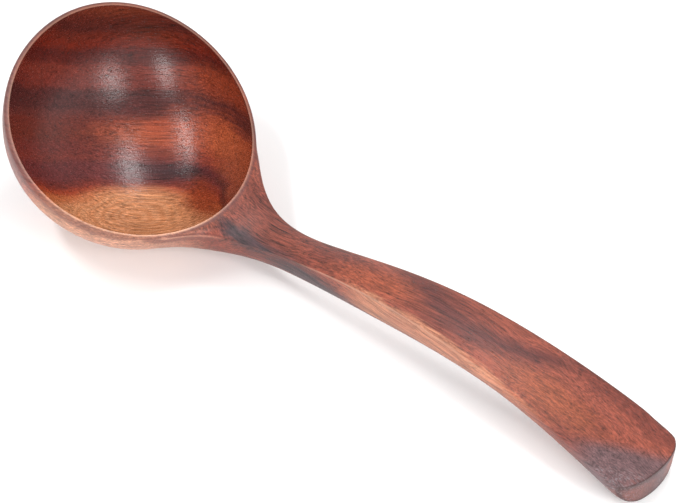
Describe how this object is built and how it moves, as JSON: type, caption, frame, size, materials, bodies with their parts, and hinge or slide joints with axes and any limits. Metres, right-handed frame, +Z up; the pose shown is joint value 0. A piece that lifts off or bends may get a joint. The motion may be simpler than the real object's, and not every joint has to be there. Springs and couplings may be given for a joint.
{
  "type": "soup ladle",
  "caption": "Plain oiled hardwood soup ladle carved from one blank: round deep bowl, narrow neck and long broadening handle, for scooping and serving.",
  "frame": {"origin": "middle of the sanded flat under the bowl, on the table top that the ladle lies on", "axes": "+X along the handle from the bowl to the tip, +Z up from the table, +Y across the bowl"},
  "size_m": [0.2486, 0.0881, 0.0548],
  "materials": {
    "oiled_hardwood": "satin oil"
  },
  "bodies": {
    "root": {"ladle": "oiled_hardwood"}
  },
  "joints": []
}
